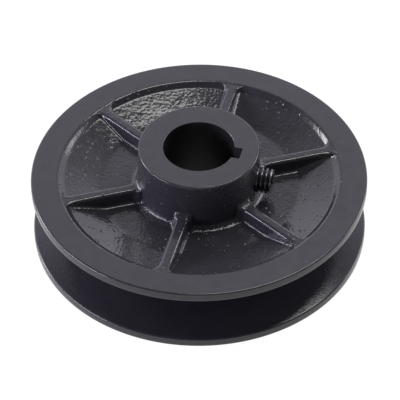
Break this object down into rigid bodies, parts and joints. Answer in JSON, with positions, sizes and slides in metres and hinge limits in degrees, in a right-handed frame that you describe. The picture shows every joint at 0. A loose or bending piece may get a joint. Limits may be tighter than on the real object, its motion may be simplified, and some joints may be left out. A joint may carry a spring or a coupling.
{
  "type": "adjustable v belt pulley",
  "caption": "Single-groove V-belt pulley with a ribbed flange and keyed hub in one casting, and a second flange that screws along its threaded barrel to set the groove width.",
  "frame": {"origin": "on the bore's axis, in the plane of the barrel's free end face, which is the lowest point", "axes": "+Z along the bore from the barrel towards the keyed hub; the keyway and the hub's set screw lie 15 degrees from +X towards -Y"},
  "size_m": [0.1054, 0.1054, 0.0444],
  "materials": {
    "painted_cast_iron": "black paint: satin over the machined rims and hub ends, glossy over the rough cast pockets and hub sides",
    "black_oxide_steel": "black oxide, lightly oiled"
  },
  "bodies": {
    "fixed_half": {"fixed_flange_hub": "painted_cast_iron"},
    "movable_half": {"movable_flange": "painted_cast_iron"},
    "hub_screw": {"hub_set_screw": "black_oxide_steel"},
    "locking_screw": {"locking_set_screw": "black_oxide_steel"}
  },
  "joints": [
    {"name": "groove_opening", "type": "slide", "parent": "fixed_half", "child": "movable_half", "axis": [0, 0, -1], "range_m": [-0.00397, 0.00397]},
    {"name": "hub_screw_travel", "type": "slide", "parent": "fixed_half", "child": "hub_screw", "axis": [0.9659, -0.2588, 0], "range_m": [-0.001, 0.003]},
    {"name": "locking_screw_travel", "type": "slide", "parent": "movable_half", "child": "locking_screw", "axis": [-0.2588, -0.9659, 0], "range_m": [0, 0.004]}
  ]
}
